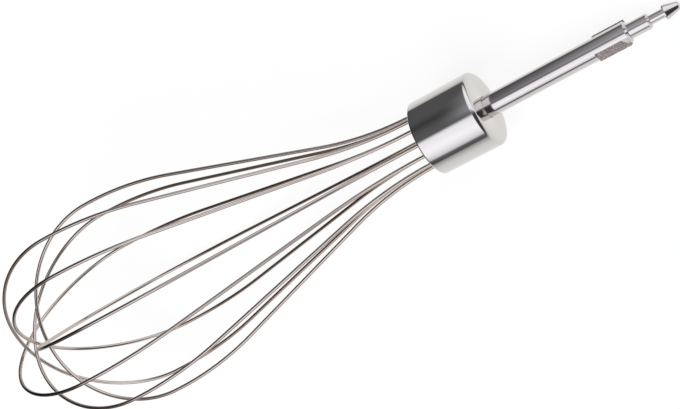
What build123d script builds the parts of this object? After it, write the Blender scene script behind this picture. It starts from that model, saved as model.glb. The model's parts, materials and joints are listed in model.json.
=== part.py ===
from build123d import *
import math
import os

# Balloon whisk for a hand-held mixer: nested wire loops in a polished hub on a lugged drive shank.
# The whisk is drawn about its own axis, shank upwards, with the hub's shank-side face at height 0.
# It is then laid down as it comes to rest on a table: on the shank's head and two strands of the cage.

# Hub: a polished cup over the core that holds the shank and the wires
HUB_DIAMETER = 24.0
HUB_LENGTH = 21.0
HUB_WALL = 0.8
HUB_EDGE = 1.5              # round of the edge at the shank-side face
RIM_EDGE = 0.6              # round of the edge at the wire side
CORE_RECESS = 1.0           # the core stops this far inside the rim
FIT_GAP = 0.03              # gap between pieces that are pressed or set together
SHANK_HOLE_GAP = 0.1        # open ring round the shank in the hub's face

# Drive shank, turned from one bar
SHANK_DIAMETER = 6.8
SHANK_LENGTH = 47.6         # hub face to shoulder
SHANK_CHAMFER = 0.6
SHANK_SEAT = 14.0           # length held in the core
SEAT_FLATS = 5.8            # across the two flats that keep the shank from turning in the core
NOSE_DIAMETER = 4.7
NOSE_LENGTH = 6.6
NOSE_CHAMFER = 0.45
NECK_DIAMETER = 2.8
NECK_LENGTH = 4.6
HEAD_DIAMETER = 4.6
HEAD_LENGTH = 4.7
HEAD_LAND = 0.4             # straight length behind the taper
HEAD_END_DIAMETER = 2.2     # blunt end of the taper
HEAD_END_ROUND = 0.8

# Two opposed lugs, squeezed out of the bar, that the mixer's socket turns
LUG_RADIUS = 4.4            # axis to ridge
LUG_RIDGE = 1.1             # width of the ridge
LUG_FLANK_ANGLE = 39.0      # each flank to the plane of the lugs
LUG_LENGTH = 10.0
LUG_SETBACK = 0.6           # shoulder to lugs
LUG_END_ANGLE = 75.0        # slope at the hub end
LUG_LEAD_ANGLE = 30.0       # slope at the nose end, that leads the lugs into the socket
LUG_AZIMUTH = 53.0          # plane of the lugs to the plane of the innermost loop

# Wire cage: each loop is one bent wire, and the loops nest with their tips one below the other
WIRE_DIAMETER = 1.2
LOOP_COUNT = 6
WIRE_CIRCLE_DIAMETER = 16.6     # circle of the wires in the core
WIRE_SEAT = 12.0                # length of each wire end in the core
CAGE_WIDTH = 69.4               # between the middles of the wires, at the widest
INNER_DEPTH = 156.2             # rim to the tip of the innermost loop
NEST_STEP = 2.85                # from one loop's tip to the next
INNER_SKEW = 2.8                # the two innermost loops are bent this far off the even pitch
FLARE_SHARE = 0.395             # bend out of the hub, as a share of the largest two bends that fit
SHOULDER_SHARE = 0.41           # bend above the widest place, as a share of the same
CHEEK_SHARE = 1.145             # bend below the widest place, as a share of half the width
TIP_SHARE = 0.92                # bend across the axis, as a share of half the width

# Worked out from the sizes above
HUB_RADIUS = HUB_DIAMETER / 2
SHANK_RADIUS = SHANK_DIAMETER / 2
NOSE_RADIUS = NOSE_DIAMETER / 2
NECK_RADIUS = NECK_DIAMETER / 2
HEAD_RADIUS = HEAD_DIAMETER / 2
CORE_TOP = -HUB_WALL - FIT_GAP
CORE_BASE = CORE_RECESS - HUB_LENGTH
NOSE_END = SHANK_LENGTH + NOSE_LENGTH
NECK_END = NOSE_END + NECK_LENGTH
HEAD_END = NECK_END + HEAD_LENGTH
LOOP_PITCH = 180 / LOOP_COUNT
RESTING_LOOPS = (0, 2)
WIRE_START = WIRE_CIRCLE_DIAMETER / 2
CAGE_RADIUS = CAGE_WIDTH / 2
CHEEK_RADIUS = CHEEK_SHARE * CAGE_RADIUS
TIP_RADIUS = TIP_SHARE * CAGE_RADIUS
TIP_DROP = math.sqrt((CHEEK_RADIUS - TIP_RADIUS) ** 2 - (CHEEK_RADIUS - CAGE_RADIUS) ** 2)


def turned(*outline):
    """A solid turned about the whisk's axis from an outline of (radius, height) points."""
    corners = [(radius, 0, height) for radius, height in outline]
    return revolve(make_face(Polyline(*corners, close=True)), Axis.Z)


def circles(solid):
    """Round edges of a solid, from the lowest to the highest."""
    return solid.edges().filter_by(GeomType.CIRCLE).sort_by(Axis.Z)


def hub_body(inset, base):
    """The hub's outside moved in all round by an inset, down to a base; its edge keeps the same middle."""
    radius = HUB_RADIUS - inset
    body = turned((0, base), (radius, base), (radius, -inset), (0, -inset))
    edge = HUB_EDGE - inset
    return fillet(circles(body)[-1], edge) if edge > 0 else body


def hub_shell():
    """Drawn cup, open towards the wires, with a hole for the shank in its flat face."""
    cup = hub_body(0, -HUB_LENGTH)
    cup = fillet(circles(cup)[0], RIM_EDGE)
    inside = hub_body(HUB_WALL, -2 * HUB_LENGTH)
    return cup - inside - Cylinder(SHANK_RADIUS + SHANK_HOLE_GAP, 4 * HUB_WALL)


def seat(gap):
    """The shank's seated end with its two flats, or with a gap the hole that takes it."""
    bar = extrude(Pos(0, 0, CORE_TOP - SHANK_SEAT - gap) * Circle(SHANK_RADIUS + gap), SHANK_SEAT + gap)
    return bar & Box(HUB_DIAMETER, SEAT_FLATS + 2 * gap, 3 * HUB_LENGTH)


def wire_azimuth(order):
    """Direction of a loop's plane: the loops go in from the innermost in pairs that cross squarely."""
    skew = {0: INNER_SKEW, 1: -INNER_SKEW}.get(order, 0)
    return 90 * (order % 2) - LOOP_PITCH * (order // 2) + skew


def hub_core():
    """Plug inside the cup: it carries the shank, and each wire end in a blind hole."""
    core = hub_body(HUB_WALL + FIT_GAP, CORE_BASE) - seat(FIT_GAP)
    drill = extrude(Pos(WIRE_START, 0, CORE_BASE) * Circle(WIRE_DIAMETER / 2 + FIT_GAP), WIRE_SEAT + FIT_GAP)
    azimuths = [wire_azimuth(order) + turn for order in range(LOOP_COUNT) for turn in (0, 180)]
    return core - [Rot(0, 0, azimuth) * drill for azimuth in azimuths]


def lugs():
    """Both lugs in one wedge-sided bar across the axis, sloped down into the shank at each end."""
    flank = math.radians(LUG_FLANK_ANGLE)
    ridge = LUG_RIDGE / 2
    reach = LUG_RADIUS * math.cos(flank) - ridge * math.sin(flank)
    root = (LUG_RADIUS - reach * math.cos(flank), ridge + reach * math.sin(flank))
    quarter = [(LUG_RADIUS, ridge), root]
    half = quarter + [(-x, y) for x, y in reversed(quarter)]
    section = make_face(Polyline(*half, *[(-x, -y) for x, y in half], close=True))
    sunk = scale(section, by=SHANK_RADIUS / LUG_RADIUS)
    top = SHANK_LENGTH - LUG_SETBACK
    base = top - LUG_LENGTH
    rise = LUG_RADIUS - SHANK_RADIUS
    full_from = base + rise / math.tan(math.radians(LUG_END_ANGLE))
    full_to = top - rise / math.tan(math.radians(LUG_LEAD_ANGLE))
    bar = extrude(Pos(0, 0, full_from) * section, full_to - full_from)
    bar += loft([Pos(0, 0, base) * sunk, Pos(0, 0, full_from) * section])
    bar += loft([Pos(0, 0, full_to) * section, Pos(0, 0, top) * sunk])
    return Rot(0, 0, LUG_AZIMUTH) * bar


def drive_shank():
    """Bar with a shoulder, nose, neck and tapered retaining head, and the two drive lugs."""
    bar = turned(
        (0, CORE_TOP),
        (SHANK_RADIUS, CORE_TOP),
        (SHANK_RADIUS, SHANK_LENGTH - SHANK_CHAMFER),
        (SHANK_RADIUS - SHANK_CHAMFER, SHANK_LENGTH),
        (NOSE_RADIUS, SHANK_LENGTH),
        (NOSE_RADIUS, NOSE_END - NOSE_CHAMFER),
        (NOSE_RADIUS - NOSE_CHAMFER, NOSE_END),
        (NECK_RADIUS, NOSE_END),
        (NECK_RADIUS, NECK_END),
        (HEAD_RADIUS, NECK_END),
        (HEAD_RADIUS, NECK_END + HEAD_LAND),
        (HEAD_END_DIAMETER / 2, HEAD_END),
        (0, HEAD_END),
    )
    return fillet(circles(bar)[-1], HEAD_END_ROUND) + seat(0) + lugs()


def flank_bends(depth):
    """Depth of a loop's widest place, and the radii of its flare and of its shoulder above that place."""
    bulge = depth - TIP_RADIUS - TIP_DROP
    spread = CAGE_RADIUS - WIRE_START
    largest = (spread ** 2 + bulge ** 2) / (2 * spread)
    return bulge, FLARE_SHARE * largest, SHOULDER_SHARE * largest


def loop_path(depth):
    """Middle line of a loop in the XZ plane: straight ends, then flare, flank, shoulder, cheek and tip."""
    bulge, flare, shoulder = flank_bends(depth)
    across = flare + shoulder + WIRE_START - CAGE_RADIUS
    slope = math.atan2(bulge, across) - math.acos((flare + shoulder) / math.hypot(across, bulge))
    cheek = CHEEK_RADIUS / (CHEEK_RADIUS - TIP_RADIUS)
    side = [
        (WIRE_START, -CORE_RECESS - WIRE_SEAT),
        (WIRE_START, 0),
        (WIRE_START + flare * (1 - math.cos(slope)), flare * math.sin(slope)),
        (CAGE_RADIUS - shoulder * (1 - math.cos(slope)), bulge - shoulder * math.sin(slope)),
        (CAGE_RADIUS, bulge),
        ((CAGE_RADIUS - CHEEK_RADIUS) * (1 - cheek), bulge + TIP_DROP * cheek),
    ]
    stations = side + [(-radius, down) for radius, down in reversed(side)]
    points = [Vector(radius, 0, -HUB_LENGTH - down) for radius, down in stations]
    straight = (0, 2, len(points) - 4, len(points) - 2)
    path = [Edge.make_line(points[0], points[1])]
    for index in range(1, len(points) - 1):
        if index in straight:
            path.append(Edge.make_line(points[index], points[index + 1]))
        else:
            path.append(Edge.make_tangent_arc(points[index], path[-1] % 1, points[index + 1]))
    return Wire(path)


def wire_loop(order):
    """One loop of the cage, counted from the innermost."""
    path = loop_path(INNER_DEPTH + order * NEST_STEP)
    section = Plane(path @ 0, z_dir=path % 0) * Circle(WIRE_DIAMETER / 2)
    return Rot(0, 0, wire_azimuth(order)) * sweep(section, path)


def balanced(difference, low, high):
    """The angle between low and high at which the difference is zero, by halving."""
    for _ in range(30):
        middle = (low + high) / 2
        if difference(low) * difference(middle) > 0:
            low = middle
        else:
            high = middle
    return (low + high) / 2


def shank_reach(tilt):
    """How far the hub's edge or the shank's head goes below the middle of the hub's face at a tilt."""
    cosine = math.cos(math.radians(tilt))
    sine = math.sin(math.radians(tilt))
    hub = (HUB_RADIUS - HUB_EDGE) * cosine - HUB_EDGE * sine + HUB_EDGE
    head = HEAD_RADIUS * cosine + (NECK_END + HEAD_LAND) * sine
    return max(hub, head)


def strand_reach(tilt, down, order):
    """How far a loop's lower strand goes below that point when the azimuth down faces the table."""
    bulge, _, shoulder = flank_bends(INNER_DEPTH + order * NEST_STEP)
    aside = math.radians(wire_azimuth(order) + 180 - down)
    lean = math.cos(math.radians(tilt)) * math.cos(aside)
    sine = math.sin(math.radians(tilt))
    middle = (CAGE_RADIUS - shoulder) * lean - (HUB_LENGTH + bulge) * sine
    return middle + shoulder * math.hypot(lean, sine) + WIRE_DIAMETER / 2


def rest_tilt(down):
    """Dip of the axis at which the shank end and a strand of the first resting loop touch the table."""
    return balanced(lambda tilt: shank_reach(tilt) - strand_reach(tilt, down, RESTING_LOOPS[0]), 0, 45)


def rest_azimuth():
    """Azimuth that faces the table when a strand of the second resting loop touches as well."""
    first, second = [wire_azimuth(order) + 180 for order in RESTING_LOOPS]

    def second_above(down):
        tilt = rest_tilt(down)
        return shank_reach(tilt) - strand_reach(tilt, down, RESTING_LOOPS[1])

    return balanced(second_above, second, first)


pieces = {"hub_shell": hub_shell(), "hub_core": hub_core(), "drive_shank": drive_shank()}
for order in range(LOOP_COUNT):
    pieces[f"wire_loop_{order + 1}"] = wire_loop(order)

# The whisk lies with its shank towards +X
down = rest_azimuth()
lying = Rot(0, 90 + rest_tilt(down), 0) * Rot(0, 0, -down)
laid = {name: lying * piece for name, piece in pieces.items()}
box = Compound(list(laid.values())).bounding_box()
on_table = Pos(-box.center().X, -box.center().Y, -box.min.Z)

os.makedirs("parts", exist_ok=True)
for name, piece in laid.items():
    export_step(on_table * piece, f"parts/{name}.step")
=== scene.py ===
"""Balloon whisk of an electric mixer: its pieces modelled and finished, and the studio it lies in."""
import json
import logging
import math
from contextlib import contextmanager
from dataclasses import dataclass
from enum import Enum
from typing import Any, Callable, Iterator, Sequence

import bpy
from mathutils import Matrix, Vector


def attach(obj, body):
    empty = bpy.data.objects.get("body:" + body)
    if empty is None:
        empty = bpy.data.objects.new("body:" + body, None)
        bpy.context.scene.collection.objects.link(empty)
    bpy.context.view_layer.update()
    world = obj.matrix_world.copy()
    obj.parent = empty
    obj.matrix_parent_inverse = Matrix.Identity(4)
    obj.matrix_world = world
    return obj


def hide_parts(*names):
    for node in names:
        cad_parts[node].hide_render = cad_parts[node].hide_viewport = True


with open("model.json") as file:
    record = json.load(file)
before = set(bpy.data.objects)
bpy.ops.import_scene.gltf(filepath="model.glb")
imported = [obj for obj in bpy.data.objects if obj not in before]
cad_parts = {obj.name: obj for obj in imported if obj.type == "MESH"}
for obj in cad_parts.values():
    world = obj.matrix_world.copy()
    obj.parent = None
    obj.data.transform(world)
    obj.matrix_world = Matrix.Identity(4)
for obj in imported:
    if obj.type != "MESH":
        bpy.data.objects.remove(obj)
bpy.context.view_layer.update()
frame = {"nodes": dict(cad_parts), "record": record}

MM: float = 0.001
ROOT_BODY: str = "root"
NOISE_MIDDLE: float = 0.5
ROUND_PROFILE: float = 0.5
SQUARE_ON: float = 0.9  # cosine from which a face counts as square to the axis

logging.basicConfig(level=logging.INFO, format="%(message)s")
log = logging.getLogger("whisk")

Colour = tuple[float, float, float]
Point = tuple[float, float, float]
Profile = tuple[tuple[float, float], ...]

WHITE: Colour = (1.0, 1.0, 1.0)


class Slot(Enum):
    """Material slots of the record."""

    SHANK = "shank_steel"
    HUB = "hub_steel"
    CORE = "core_plastic"
    WIRE = "wire_steel"


class Shade:
    """A shader socket that can be used in Python expressions."""

    def __init__(self, tree: "ShaderTree", socket: bpy.types.NodeSocket) -> None:
        """Wraps a socket of a tree."""
        self.tree = tree
        self.socket = socket

    def _math(self, operation: str, *values: Any) -> "Shade":
        """Adds one Math node on the given values."""
        return self.tree.node("ShaderNodeMath", {"operation": operation}, dict(enumerate(values)))

    def __add__(self, other: Any) -> "Shade":
        """Sum."""
        return self._math("ADD", self, other)

    __radd__ = __add__

    def __sub__(self, other: Any) -> "Shade":
        """Difference."""
        return self._math("SUBTRACT", self, other)

    def __rsub__(self, other: Any) -> "Shade":
        """Difference with the plain number first."""
        return self._math("SUBTRACT", other, self)

    def __mul__(self, other: Any) -> "Shade":
        """Product."""
        return self._math("MULTIPLY", self, other)

    __rmul__ = __mul__

    def __neg__(self) -> "Shade":
        """Opposite."""
        return self._math("MULTIPLY", self, -1.0)

    def angle_to(self, across: Any) -> "Shade":
        """Angle in degrees of the direction (across, self)."""
        return self._math("ARCTAN2", self, across) * math.degrees(1)

    def rise(self, low: float, high: float) -> "Shade":
        """Smooth step from 0 at low to 1 at high.

        Args:
            low: value at which the step starts.
            high: value at which the step ends.

        Returns:
            The step as a value from 0 to 1.
        """
        return self.tree.node(
            "ShaderNodeMapRange",
            {"interpolation_type": "SMOOTHSTEP"},
            {"Value": self, "From Min": low, "From Max": high, "To Min": 0.0, "To Max": 1.0},
        )


class ShaderTree:
    """The node tree of a material or of the world."""

    def __init__(self, tree: bpy.types.NodeTree) -> None:
        """Empties a node tree for use."""
        self.tree = tree
        tree.nodes.clear()

    def node(self, kind: str, settings: dict[str, Any], inputs: dict[Any, Any], output: Any = 0) -> Shade:
        """Adds one node.

        Args:
            kind: the node's type.
            settings: attributes to set first; "stops" sets a ramp's (position, colour) pairs.
            inputs: values or links by socket name or number.
            output: name or number of the socket to hand on.

        Returns:
            The wrapped output socket.
        """
        node = self.tree.nodes.new(kind)
        for name, value in settings.items():
            if name == "stops":
                self._set_stops(node.color_ramp, value)
            else:
                setattr(node, name, value)
        for name, value in inputs.items():
            if isinstance(value, Shade):
                self.tree.links.new(value.socket, node.inputs[name])
            else:
                node.inputs[name].default_value = value
        return Shade(self, node.outputs[output])

    @staticmethod
    def _set_stops(ramp: bpy.types.ColorRamp, stops: Sequence[tuple[float, Colour]]) -> None:
        """Sets a colour ramp's stops.

        Args:
            ramp: the ramp, with its first two stops.
            stops: place and colour of each stop, in rising order of place.
        """
        while len(ramp.elements) < len(stops):
            ramp.elements.new(1.0)
        for element, (position, colour) in zip(ramp.elements, stops):
            element.position = position
            element.color = (*colour, 1.0)

    def object_point(self) -> Shade:
        """Object coordinates in metres."""
        return self.node("ShaderNodeTexCoord", {}, {}, "Object")

    def noise(self, point: Shade, scale: float, detail: float = 3.0) -> Shade:
        """Noise from 0 to 1 at a scale in waves per metre."""
        return self.node("ShaderNodeTexNoise", {}, {"Vector": point, "Scale": scale, "Detail": detail}, "Fac")

    def tint(self, mask: Shade, low: Colour, high: Colour) -> Shade:
        """Colour between two, by a mask."""
        stops = ((0.0, low), (1.0, high))
        return self.node("ShaderNodeValToRGB", {"stops": stops}, {"Fac": mask}, "Color")

    def profile(self, value: Shade, stops: Profile) -> Shade:
        """Level that follows straight lines between stops.

        Args:
            value: the place along the profile.
            stops: place and level of each stop, in rising order of place.

        Returns:
            The level at the value.
        """
        first, last = stops[0][0], stops[-1][0]
        peak = max(level for _, level in stops)
        share = self.node("ShaderNodeMapRange", {}, {"Value": value, "From Min": first, "From Max": last})
        greys = [((place - first) / (last - first), (level / peak,) * 3) for place, level in stops]
        return self.node("ShaderNodeValToRGB", {"stops": greys}, {"Fac": share}, "Color") * peak

    def bump(self, height: Shade, strength: float, distance: float) -> Shade:
        """Normal bent by a height."""
        return self.node(
            "ShaderNodeBump", {}, {"Height": height, "Strength": strength, "Distance": distance}, "Normal"
        )

    def surface(self, shader: Shade, kind: str = "ShaderNodeOutputMaterial") -> None:
        """Links a shader to the tree's output."""
        output = self.tree.nodes.new(kind)
        self.tree.links.new(shader.socket, output.inputs["Surface"])


@dataclass(frozen=True)
class SteelFinish:
    """Bright steel whose gloss wavers a little and carries faint marks of its making."""

    name: str
    pale: Colour
    deep: Colour
    metallic: float
    gloss: float
    gloss_waver: float
    cloud_scale: float
    mark_scale: float
    mark_depth: float
    mark_strength: float = 0.25

    def material(self) -> bpy.types.Material:
        """Builds the material.

        Returns:
            A metallic material with tinted colour, wavering roughness and fine marks.
        """
        material = bpy.data.materials.new(self.name)
        material.use_nodes = True
        tree = ShaderTree(material.node_tree)
        point = tree.object_point()
        cloud = tree.noise(point, self.cloud_scale)
        marks = tree.noise(point, self.mark_scale)
        shader = tree.node(
            "ShaderNodeBsdfPrincipled",
            {},
            {
                "Base Color": tree.tint(cloud, self.deep, self.pale),
                "Metallic": self.metallic,
                "Roughness": (cloud - NOISE_MIDDLE) * self.gloss_waver + self.gloss,
                "Normal": tree.bump(marks, self.mark_strength, self.mark_depth),
            },
        )
        tree.surface(shader)
        return material


@dataclass(frozen=True)
class PlasticFinish:
    """Moulded plastic with a fine grain."""

    name: str
    pale: Colour
    deep: Colour
    gloss: float
    grain_scale: float
    grain_depth: float
    gloss_waver: float = 0.2
    grain_detail: float = 4.0
    grain_strength: float = 0.4

    def material(self) -> bpy.types.Material:
        """Builds the material.

        Returns:
            A matte plastic material with a grained surface.
        """
        material = bpy.data.materials.new(self.name)
        material.use_nodes = True
        tree = ShaderTree(material.node_tree)
        grain = tree.noise(tree.object_point(), self.grain_scale, self.grain_detail)
        shader = tree.node(
            "ShaderNodeBsdfPrincipled",
            {},
            {
                "Base Color": tree.tint(grain, self.deep, self.pale),
                "Roughness": (grain - NOISE_MIDDLE) * self.gloss_waver + self.gloss,
                "Normal": tree.bump(grain, self.grain_strength, self.grain_depth),
            },
        )
        tree.surface(shader)
        return material


HUB_POLISH = SteelFinish(
    name="hub_polish",
    pale=(0.68, 0.66, 0.64),
    deep=(0.65, 0.63, 0.61),
    metallic=1.0,
    gloss=0.05,
    gloss_waver=0.02,
    cloud_scale=90.0,
    mark_scale=2500.0,
    mark_depth=2e-6,
)
SHANK_POLISH = SteelFinish(
    name="shank_polish",
    pale=(0.68, 0.65, 0.64),
    deep=(0.62, 0.59, 0.58),
    metallic=1.0,
    gloss=0.10,
    gloss_waver=0.04,
    cloud_scale=90.0,
    mark_scale=3000.0,
    mark_depth=3e-6,
)
LUG_MATTE = SteelFinish(
    name="lug_squeezed",
    pale=(0.62, 0.56, 0.535),
    deep=(0.46, 0.405, 0.385),
    metallic=0.35,
    gloss=0.5,
    gloss_waver=0.1,
    cloud_scale=1500.0,
    mark_scale=4000.0,
    mark_depth=8e-6,
)
WIRE_BRIGHT = SteelFinish(
    name="wire_drawn",
    pale=(0.68, 0.61, 0.56),
    deep=(0.54, 0.46, 0.41),
    metallic=1.0,
    gloss=0.10,
    gloss_waver=0.06,
    cloud_scale=90.0,
    mark_scale=3500.0,
    mark_depth=2e-6,
)
CORE_MOULDED = PlasticFinish(
    name="core_moulded",
    pale=(0.05, 0.05, 0.05),
    deep=(0.03, 0.03, 0.03),
    gloss=0.5,
    grain_scale=6000.0,
    grain_depth=2e-5,
)


def select_only(piece: bpy.types.Object) -> None:
    """Selects one object alone and makes it the active one.

    Args:
        piece: the object.
    """
    bpy.ops.object.select_all(action="DESELECT")
    piece.select_set(True)
    bpy.context.view_layer.objects.active = piece


@contextmanager
def editing(piece: bpy.types.Object) -> Iterator[None]:
    """Puts one object into edit mode with nothing selected, and back.

    Args:
        piece: the mesh object to edit.
    """
    select_only(piece)
    bpy.ops.object.mode_set(mode="EDIT")
    bpy.ops.mesh.select_all(action="DESELECT")
    yield
    bpy.ops.object.mode_set(mode="OBJECT")


class Pick(Enum):
    """Kinds of mesh element that are picked by place."""

    FACE = "FACE"
    EDGE = "EDGE"


def pick(piece: bpy.types.Object, kind: Pick, fits: Callable[[Vector, Vector], bool]) -> None:
    """Selects faces or edges of the mesh in edit mode by their place.

    Args:
        piece: the object in edit mode.
        kind: faces, tested by middle and normal, or edges, tested by their two ends.
        fits: the test.
    """
    bpy.ops.mesh.select_all(action="DESELECT")
    bpy.ops.mesh.select_mode(type=kind.value)
    bpy.ops.object.mode_set(mode="OBJECT")
    mesh = piece.data
    if kind is Pick.FACE:
        chosen = [face for face in mesh.polygons if fits(face.center, face.normal)]
    else:
        place = [vertex.co for vertex in mesh.vertices]
        chosen = [edge for edge in mesh.edges if fits(place[edge.vertices[0]], place[edge.vertices[1]])]
    for element in chosen:
        element.select = True
    bpy.ops.object.mode_set(mode="EDIT")


def on_ring(radius: float, height: float, slack: float = 0.02 * MM) -> Callable[[Vector, Vector], bool]:
    """Test for the edges of a ring about the axis.

    Args:
        radius: radius of the ring.
        height: height of the ring along the axis.
        slack: how far an end may be off.

    Returns:
        A test for use with pick.
    """

    def near(end: Vector) -> bool:
        """Whether one end of an edge lies on the ring."""
        return abs(end.xy.length - radius) < slack and abs(end.z - height) < slack

    return lambda start, end: near(start) and near(end)


def apply_modifier(piece: bpy.types.Object, kind: str, **settings: Any) -> None:
    """Adds one modifier to an object and applies it.

    Args:
        piece: the object.
        kind: the modifier's type.
        settings: the modifier's attributes.
    """
    select_only(piece)
    modifier = piece.modifiers.new(kind.lower(), kind)
    for name, value in settings.items():
        setattr(modifier, name, value)
    bpy.ops.object.modifier_apply(modifier=modifier.name)


def added(name: str) -> bpy.types.Object:
    """Names the primitive that was just added and moves its place into its mesh.

    Args:
        name: name of the object and of its mesh.

    Returns:
        The named object.
    """
    piece = bpy.context.object
    bpy.ops.object.transform_apply(location=True, rotation=True, scale=True)
    piece.name = name
    piece.data.name = name
    return piece


@dataclass
class RestPlace:
    """Where the whisk lies: its axis from the record's mount, and the side that faces the table."""

    nose_middle: float
    table_azimuth: float = 163.968
    mount_name: str = "shank_nose"

    def matrix(self) -> Matrix:
        """Place of the whisk's own frame, which has the hub's face at 0 and the shank along +Z.

        Returns:
            Matrix from the whisk's frame to the row frame, in metres.
        """
        mount = next(m for m in frame["record"]["mounts"] if m["name"] == self.mount_name)
        axis = Vector(mount["axis"]).normalized()
        face = Vector(mount["pos_m"]) - axis * self.nose_middle * MM
        tilt = math.asin(-axis.z)
        turn = Matrix.Rotation(math.radians(90) + tilt, 4, "Y")
        roll = Matrix.Rotation(math.radians(-self.table_azimuth), 4, "Z")
        return Matrix.Translation(face) @ turn @ roll


@dataclass
class Piece:
    """A modelled piece and how it joins the frame."""

    place: Matrix

    def settle(self, piece: bpy.types.Object, slot: Slot, *nodes: str, smooth: float = 30.0) -> None:
        """Lays a finished piece in its place and ties it to the frame.

        Args:
            piece: the object, modelled in the whisk's own frame.
            slot: its slot in the record; not used.
            nodes: CAD nodes that it stands for.
            smooth: largest angle in degrees between faces that are shaded as one.
        """
        select_only(piece)
        bpy.ops.object.shade_smooth_by_angle(angle=math.radians(smooth))
        piece.matrix_world = self.place
        bpy.ops.object.transform_apply(location=True, rotation=True, scale=True)
        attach(piece, ROOT_BODY)
        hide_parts(*nodes)
        log.info("%s: %d faces", piece.name, len(piece.data.polygons))


@dataclass
class HubShell(Piece):
    """Polished cup over the core."""

    diameter: float = 24.0
    length: float = 21.0
    wall: float = 0.8
    hole_diameter: float = 7.0
    face_edge: float = 1.5
    rim_edge: float = 0.6
    hole_edge: float = 0.05
    face_edge_segments: int = 12
    rim_edge_segments: int = 6
    hole_edge_segments: int = 2
    facets: int = 256

    def build(self) -> bpy.types.Object:
        """Models the cup: a tube with an inset face, given its wall and rounded edges.

        Returns:
            The cup in the whisk's own frame.
        """
        radius = self.diameter / 2 * MM
        length = self.length * MM
        hole = self.hole_diameter / 2 * MM
        bpy.ops.object.select_all(action="DESELECT")
        bpy.ops.mesh.primitive_cylinder_add(
            vertices=self.facets, radius=radius, depth=length, location=(0, 0, -length / 2)
        )
        cup = added("hub_cup")
        with editing(cup):
            pick(cup, Pick.FACE, lambda middle, normal: normal.z < -SQUARE_ON)
            bpy.ops.mesh.delete(type="FACE")
            pick(cup, Pick.FACE, lambda middle, normal: normal.z > SQUARE_ON)
            bpy.ops.mesh.inset(thickness=radius - hole, depth=0)
            bpy.ops.mesh.delete(type="FACE")
        apply_modifier(cup, "SOLIDIFY", thickness=self.wall * MM, offset=-1.0, use_even_offset=True)
        edges = (
            (radius, 0.0, self.face_edge, self.face_edge_segments),
            (radius, -length, self.rim_edge, self.rim_edge_segments),
            (hole, 0.0, self.hole_edge, self.hole_edge_segments),
        )
        with editing(cup):
            for ring_radius, height, width, segments in edges:
                pick(cup, Pick.EDGE, on_ring(ring_radius, height))
                bpy.ops.mesh.bevel(offset=width * MM, segments=segments, profile=ROUND_PROFILE)
        return cup

    def dress(self, cup: bpy.types.Object) -> None:
        """Polishes the cup and sets it in place."""
        cup.data.materials.append(HUB_POLISH.material())
        self.settle(cup, Slot.HUB, "hub_shell")


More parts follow.
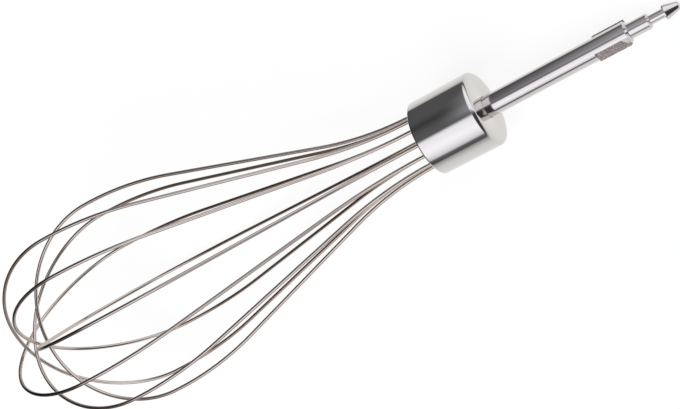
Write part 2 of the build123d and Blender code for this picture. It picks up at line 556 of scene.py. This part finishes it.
@dataclass
class DriveShank(Piece):
    """Turned bar with two squeezed lugs, a nose, a neck and a blunt tapered head."""

    diameter: float = 6.8
    length: float = 47.6
    chamfer: float = 0.6
    buried: float = 1.0
    nose_diameter: float = 4.7
    nose_length: float = 6.6
    nose_chamfer: float = 0.45
    neck_diameter: float = 2.8
    neck_length: float = 4.6
    head_diameter: float = 4.6
    head_length: float = 4.7
    head_land: float = 0.4
    head_end_diameter: float = 2.2
    head_end_round: float = 0.8
    head_end_reach: float = 0.76  # along the taper and across the end, as a share of the round
    head_end_segments: int = 12
    lug_radius: float = 4.4
    lug_ridge: float = 1.1
    lug_flank_angle: float = 39.0
    lug_length: float = 10.0
    lug_setback: float = 0.6
    lug_end_angle: float = 75.0
    lug_lead_angle: float = 30.0
    lug_azimuth: float = 53.0
    lug_bury: float = 0.06
    lug_margin: float = 0.6
    lug_block_share: float = 0.9
    facets: int = 128
    smooth_angle: float = 8.0

    @property
    def nose_middle(self) -> float:
        """Height of the middle of the nose's straight wall above the hub's face."""
        return self.length + (self.nose_length - self.nose_chamfer) / 2

    def stations(self) -> list[tuple[float, float]]:
        """Rings of the bar, from the hub to the blunt end.

        Returns:
            Radius and height of each ring in millimetres, after the first.
        """
        bar = self.diameter / 2
        nose = self.nose_diameter / 2
        neck = self.neck_diameter / 2
        head = self.head_diameter / 2
        nose_end = self.length + self.nose_length
        neck_end = nose_end + self.neck_length
        return [
            (bar, self.length - self.lug_setback - self.lug_length - self.lug_margin),
            (bar, self.length - self.chamfer),
            (bar - self.chamfer, self.length),
            (nose, self.length),
            (nose, nose_end - self.nose_chamfer),
            (nose - self.nose_chamfer, nose_end),
            (neck, nose_end),
            (neck, neck_end),
            (head, neck_end),
            (head, neck_end + self.head_land),
            (self.head_end_diameter / 2, neck_end + self.head_length),
        ]

    def bar(self) -> bpy.types.Object:
        """Models the bar: a disc drawn out ring by ring.

        Returns:
            The bar in the whisk's own frame.
        """
        bpy.ops.object.select_all(action="DESELECT")
        start = (self.diameter / 2, -self.buried)
        bpy.ops.mesh.primitive_circle_add(
            vertices=self.facets, radius=start[0] * MM, fill_type="NGON", location=(0, 0, start[1] * MM)
        )
        bar = added("drive_bar")
        with editing(bar):
            bpy.ops.mesh.select_all(action="SELECT")
            for radius, height in self.stations():
                bpy.ops.mesh.extrude_region_move(
                    TRANSFORM_OT_translate={"value": (0, 0, (height - start[1]) * MM)}
                )
                ratio = radius / start[0]
                bpy.ops.transform.resize(value=(ratio, ratio, 1), center_override=(0, 0, height * MM))
                start = (radius, height)
            pick(bar, Pick.EDGE, on_ring(start[0] * MM, start[1] * MM))
            reach = self.head_end_round * MM * self.head_end_reach
            bpy.ops.mesh.bevel(offset=reach, segments=self.head_end_segments, profile=ROUND_PROFILE)
            bpy.ops.mesh.select_all(action="SELECT")
            bpy.ops.mesh.normals_make_consistent(inside=False)
        return bar

    def lug_cuts(self, base: float, top: float) -> Iterator[tuple[Point, Point]]:
        """Planes that shape the lugs out of a block.

        Args:
            base: height of the hub end of the lugs.
            top: height of their nose end.

        Yields:
            A point and an outward normal of each plane.
        """
        reach = self.lug_radius * MM
        ridge = self.lug_ridge / 2 * MM
        rise = reach - self.diameter / 2 * MM
        flank = math.radians(self.lug_flank_angle)
        lean = (math.sin(flank), math.cos(flank))
        fall = rise + self.lug_bury * MM
        sink = (reach * lean[0] + ridge * lean[1]) * fall / reach
        foot = rise / math.tan(math.radians(self.lug_end_angle))
        lead = rise / math.tan(math.radians(self.lug_lead_angle))
        for side in (-1, 1):
            for face in (-1, 1):
                yield (side * reach, face * ridge, 0), (side * lean[0], face * lean[1], 0)
            for height, run, way in ((base + foot, foot, -1), (top - lead, lead, 1)):
                yield (side * reach, 0, height), (side * run, 0, way * fall)
                for face in (-1, 1):
                    slope = (side * lean[0] * run, face * lean[1] * run, way * sink)
                    yield (side * reach, face * ridge, height), slope

    def lugs(self) -> bpy.types.Object:
        """Models both lugs: a block whose flanks and ends are cut away by planes.

        Returns:
            The lugs in the whisk's own frame.
        """
        top = (self.length - self.lug_setback) * MM
        base = top - self.lug_length * MM
        size = (2 * self.lug_radius * MM, self.lug_block_share * self.diameter * MM, top - base)
        bpy.ops.object.select_all(action="DESELECT")
        bpy.ops.mesh.primitive_cube_add(size=1.0, location=(0, 0, (top + base) / 2), scale=size)
        block = added("drive_lugs")
        with editing(block):
            for point, normal in self.lug_cuts(base, top):
                bpy.ops.mesh.select_all(action="SELECT")
                bpy.ops.mesh.bisect(plane_co=point, plane_no=normal, use_fill=True, clear_outer=True)
            bpy.ops.mesh.select_all(action="SELECT")
            bpy.ops.mesh.normals_make_consistent(inside=False)
        block.matrix_world = Matrix.Rotation(math.radians(self.lug_azimuth), 4, "Z")
        bpy.ops.object.transform_apply(location=True, rotation=True, scale=True)
        return block

    def build(self) -> bpy.types.Object:
        """Models the shank: the bar, joined with its lugs.

        Returns:
            The shank in the whisk's own frame, with both its finishes.
        """
        bar = self.bar()
        block = self.lugs()
        bar.data.materials.append(SHANK_POLISH.material())
        block.data.materials.append(LUG_MATTE.material())
        apply_modifier(
            bar, "BOOLEAN", operation="UNION", object=block, solver="EXACT", material_mode="TRANSFER"
        )
        bpy.data.objects.remove(block)
        return bar

    def dress(self, bar: bpy.types.Object) -> None:
        """Sets the shank in place; its finishes came with the bar and the lugs."""
        self.settle(bar, Slot.SHANK, "drive_shank", smooth=self.smooth_angle)


@dataclass
class WireCage(Piece):
    """Six nested loops, each drawn along its own line as one bent wire."""

    wire_diameter: float = 1.2
    loop_count: int = 6
    circle_diameter: float = 16.6
    seat: float = 12.0
    core_recess: float = 1.0
    hub_length: float = 21.0
    width: float = 69.4
    inner_depth: float = 156.2
    nest_step: float = 2.85
    inner_skew: float = 2.8
    flare_share: float = 0.395
    shoulder_share: float = 0.41
    cheek_share: float = 1.145
    tip_share: float = 0.92
    facets: int = 24
    step_angle: float = 1.5
    fewest_steps: int = 4
    weld: float = 0.001
    smooth_angle: float = 45.0

    def azimuth(self, order: int) -> float:
        """Direction of a loop's plane in degrees, counted from the innermost loop."""
        skew = {0: self.inner_skew, 1: -self.inner_skew}.get(order, 0.0)
        return 90.0 * (order % 2) - 180.0 / self.loop_count * (order // 2) + skew

    def bend(self, centre: tuple[float, float], angle: float) -> None:
        """Spins the selected end of the wire round a point of the loop's plane.

        Args:
            centre: radius and depth of the point below the rim, in millimetres.
            angle: turn in radians, towards the axis when positive.
        """
        steps = max(self.fewest_steps, round(abs(math.degrees(angle)) / self.step_angle))
        middle = (centre[0] * MM, 0, -(self.hub_length + centre[1]) * MM)
        bpy.ops.mesh.spin(steps=steps, angle=angle, center=middle, axis=(0, -1, 0), dupli=False)

    def draw(self, run: tuple[float, float]) -> None:
        """Draws the selected end of the wire straight on by a radius and a depth in millimetres."""
        move = (run[0] * MM, 0, -run[1] * MM)
        bpy.ops.mesh.extrude_region_move(TRANSFORM_OT_translate={"value": move})

    def loop(self, order: int) -> bpy.types.Object:
        """Models one loop.

        Args:
            order: place in the nest, 0 for the innermost.

        Returns:
            The loop in the whisk's own frame.
        """
        depth = self.inner_depth + order * self.nest_step
        start = self.circle_diameter / 2
        half = self.width / 2
        cheek = self.cheek_share * half
        tip = self.tip_share * half
        drop = math.sqrt((cheek - tip) ** 2 - (cheek - half) ** 2)
        bulge = depth - tip - drop
        largest = ((half - start) ** 2 + bulge**2) / (2 * (half - start))
        flare = self.flare_share * largest
        shoulder = self.shoulder_share * largest
        across = flare + shoulder + start - half
        slope = math.atan2(bulge, across) - math.acos((flare + shoulder) / math.hypot(across, bulge))
        cheek_turn = math.atan2(drop, cheek - half)
        tip_turn = math.pi - 2 * cheek_turn
        flank = (
            across - (flare + shoulder) * math.cos(slope),
            bulge - (flare + shoulder) * math.sin(slope),
        )
        buried = self.core_recess + self.seat
        bpy.ops.object.select_all(action="DESELECT")
        bpy.ops.mesh.primitive_circle_add(
            vertices=self.facets,
            radius=self.wire_diameter / 2 * MM,
            fill_type="NGON",
            location=(start * MM, 0, (buried - self.hub_length) * MM),
        )
        wire = added(f"cage_wire_{order + 1}")
        with editing(wire):
            bpy.ops.mesh.select_all(action="SELECT")
            self.draw((0, buried))
            self.bend((start + flare, 0), -slope)
            self.draw((-flank[0], flank[1]))
            self.bend((half - shoulder, bulge), slope)
            self.bend((half - cheek, bulge), cheek_turn)
            self.bend((0, depth - tip), tip_turn)
            self.bend((cheek - half, bulge), cheek_turn)
            self.bend((shoulder - half, bulge), slope)
            self.draw((-flank[0], -flank[1]))
            self.bend((-start - flare, 0), -slope)
            self.draw((0, -buried))
            bpy.ops.mesh.select_all(action="SELECT")
            bpy.ops.mesh.remove_doubles(threshold=self.weld * MM)
            bpy.ops.mesh.normals_make_consistent(inside=False)
        wire.matrix_world = Matrix.Rotation(math.radians(self.azimuth(order)), 4, "Z")
        bpy.ops.object.transform_apply(location=True, rotation=True, scale=True)
        return wire

    def build(self) -> list[bpy.types.Object]:
        """Models every loop, from the innermost out."""
        return [self.loop(order) for order in range(self.loop_count)]

    def dress(self, wires: Sequence[bpy.types.Object]) -> None:
        """Finishes the loops and sets them in place.

        Args:
            wires: the loops, from the innermost out.
        """
        material = WIRE_BRIGHT.material()
        for order, wire in enumerate(wires):
            wire.data.materials.append(material)
            self.settle(wire, Slot.WIRE, f"wire_loop_{order + 1}", smooth=self.smooth_angle)


@dataclass
class HubCore:
    """Insert inside the cup, which keeps its CAD shape."""

    node: str = "hub_core"

    def dress(self) -> None:
        """Gives the CAD node its moulded finish."""
        core = frame["nodes"][self.node]
        core.data.materials.clear()
        core.data.materials.append(CORE_MOULDED.material())
        log.info("%s: CAD shape, moulded finish", self.node)


@dataclass
class Studio:
    """Pale table, soft light and camera."""

    place: Matrix
    floor_size: float = 3.0
    floor_drop: float = 0.0001
    floor_colour: Colour = (0.9, 0.9, 0.9)
    floor_glow: float = 0.88
    # Level of the table in the steel, a painted glow that fades away from the whisk, by its place across the
    # whisk and along it in metres
    painted_table_light_across: Profile = (
        (-0.34, 0.25), (-0.2, 0.38), (-0.088, 0.62), (-0.048, 0.85), (-0.031, 0.93), (0.0, 0.97),
        (0.04, 0.95), (0.08, 0.87), (0.15, 0.66), (0.3, 0.4), (0.5, 0.25),
    )
    painted_table_light_along: Profile = ((-0.5, 0.1), (-0.24, 0.35), (-0.13, 0.9), (-0.05, 1.0), (0.3, 1.0))
    # Lean of the whisk's axis to the camera, its slope in the picture and its turn, in degrees
    dip: float = 24.614
    slant: float = 27.774
    cage_turn: float = -0.557
    # Camera to the hub's face in millimetres, and pixels to a millimetre there
    distance: float = 449.18
    scale: float = 3.373
    image_size: tuple[int, int] = (680, 409)
    hub_pixel: tuple[float, float] = (487.353, 106.877)
    sensor: float = 36.0
    near_clip: float = 0.01
    # Level of the light by its angle in degrees, from the horizon before the whisk over the top
    softbox: Profile = (
        (0.0, 0.12), (9.0, 0.16), (15.0, 0.87), (24.5, 1.12), (30.0, 1.24), (42.0, 1.39), (64.0, 1.25),
        (71.0, 1.15), (79.0, 0.14), (98.0, 0.12), (116.0, 0.06), (135.0, 0.11), (180.0, 0.11),
    )
    window: Profile = (
        (0.0, 0.06), (70.0, 0.06), (82.0, 0.3), (94.0, 1.15), (150.0, 1.25), (168.0, 0.9),
        (174.0, 0.12), (180.0, 0.1),
    )
    # Where the lights start and end along the whisk, by the direction's part along +X
    softbox_reach: Profile = (
        (-1.0, 0.1), (-0.57, 0.15), (-0.4, 1.0), (0.0, 1.0), (0.25, 0.0), (1.0, 0.0),
    )
    window_start: tuple[float, float] = (-0.24, 0.25)
    warm_end: tuple[float, float] = (-0.6, -0.36)
    daylight: Colour = (0.985, 0.995, 1.06)
    lamplight: Colour = (1.0, 0.84, 0.76)
    lamp_size: tuple[float, float] = (1.2, 0.8)
    lamp_power: float = 14.0
    lamp_place: Point = (0.0, -0.7, 0.9)

    def floor(self) -> None:
        """Adds the table, which shows white and keeps the whisk's shadow, and which glows with painted light,
        fading away from the whisk, in the steel's reflections.
        """
        bpy.ops.object.select_all(action="DESELECT")
        bpy.ops.mesh.primitive_plane_add(size=self.floor_size, location=(0, 0, -self.floor_drop))
        floor = added("table_top")
        material = bpy.data.materials.new("table_white")
        material.use_nodes = True
        tree = ShaderTree(material.node_tree)
        camera = tree.node("ShaderNodeLightPath", {}, {}, "Is Camera Ray")
        glossy = tree.node("ShaderNodeLightPath", {}, {}, "Is Glossy Ray")
        place = tree.object_point()
        along, across = (tree.node("ShaderNodeSeparateXYZ", {}, {"Vector": place}, axis) for axis in "XY")
        # Painted light: the table's glow as the steel reflects it, fading away from the whisk by place
        painted_light = tree.profile(across, self.painted_table_light_across) * tree.profile(along, self.painted_table_light_along)
        seen = camera + (1 - camera) * painted_light
        matte = tree.node("ShaderNodeBsdfDiffuse", {}, {"Color": (*self.floor_colour, 1.0)})
        glow = tree.node("ShaderNodeEmission", {}, {"Color": seen, "Strength": 1.0})
        factor = camera * self.floor_glow + glossy * (1 - camera)
        tree.surface(tree.node("ShaderNodeMixShader", {}, {0: factor, 1: matte, 2: glow}))
        floor.data.materials.append(material)

    def world(self) -> None:
        """Sets the studio: a softbox before the whisk, a window behind its shank, and white to the camera."""
        world = bpy.data.worlds.new("studio")
        bpy.context.scene.world = world
        world.use_nodes = True
        tree = ShaderTree(world.node_tree)
        direction = tree.node("ShaderNodeTexCoord", {}, {}, "Generated")
        along, across, height = (
            tree.node("ShaderNodeSeparateXYZ", {}, {"Vector": direction}, axis) for axis in "XYZ"
        )
        angle = height.angle_to(-across)
        softbox = tree.profile(angle, self.softbox)
        window = tree.profile(angle, self.window)
        studio = softbox * tree.profile(along, self.softbox_reach) + window * along.rise(*self.window_start)
        camera = tree.node("ShaderNodeLightPath", {}, {}, "Is Camera Ray")
        colour = tree.tint(along.rise(*self.warm_end), self.lamplight, self.daylight)
        room = tree.node("ShaderNodeBackground", {}, {"Color": colour, "Strength": studio})
        white = tree.node("ShaderNodeBackground", {}, {"Color": (*WHITE, 1.0), "Strength": 1.0})
        shader = tree.node("ShaderNodeMixShader", {}, {0: camera, 1: room, 2: white})
        tree.surface(shader, "ShaderNodeOutputWorld")

    def lamp(self) -> None:
        """Adds the soft key lamp, on the softbox's side."""
        light = bpy.data.lights.new("key", "AREA")
        light.shape = "RECTANGLE"
        light.size, light.size_y = self.lamp_size
        light.energy = self.lamp_power
        lamp = bpy.data.objects.new("key", light)
        bpy.context.scene.collection.objects.link(lamp)
        lamp.location = self.lamp_place
        lamp.rotation_euler = (-lamp.location).to_track_quat("-Z", "Y").to_euler()
        lamp.visible_glossy = False

    def camera(self) -> None:
        """Adds the camera at the photograph's place, worked out from the hub's face in its image."""
        turn = math.radians(self.cage_turn)
        own = self.place.to_3x3()
        near, side, axis = (own.col[index].normalized() for index in range(3))
        toward_viewer = near * math.cos(turn) + side * math.sin(turn)
        across = side * math.cos(turn) - near * math.sin(turn)
        dip = math.radians(self.dip)
        slant = math.radians(self.slant)
        back = axis * math.sin(dip) + toward_viewer * math.cos(dip)
        along = axis * math.cos(dip) - toward_viewer * math.sin(dip)
        right = along * math.cos(slant) + across * math.sin(slant)
        up = along * math.sin(slant) - across * math.cos(slant)
        shift_right = (self.hub_pixel[0] - self.image_size[0] / 2) / self.scale
        shift_down = (self.hub_pixel[1] - self.image_size[1] / 2) / self.scale
        aim = self.place.translation - right * shift_right * MM + up * shift_down * MM
        data = bpy.data.cameras.new("camera")
        data.sensor_fit = "HORIZONTAL"
        data.sensor_width = self.sensor
        data.lens = self.scale * self.distance * self.sensor / self.image_size[0]
        data.clip_start = self.near_clip
        camera = bpy.data.objects.new("camera", data)
        bpy.context.scene.collection.objects.link(camera)
        turned = Matrix((right, up, back)).transposed().to_4x4()
        camera.matrix_world = Matrix.Translation(aim + back * self.distance * MM) @ turned
        bpy.context.scene.camera = camera

    def build(self) -> None:
        """Sets up the table, the light and the camera."""
        self.floor()
        self.world()
        self.lamp()
        self.camera()
        bpy.context.scene.view_settings.view_transform = "Standard"


def main() -> None:
    """Builds the whisk piece by piece, then the studio."""
    place = RestPlace(DriveShank(Matrix()).nose_middle).matrix()
    for sub_assembly in (HubShell(place), DriveShank(place), WireCage(place)):
        sub_assembly.dress(sub_assembly.build())
    HubCore().dress()
    Studio(place).build()


if __name__ == "__main__":
    main()
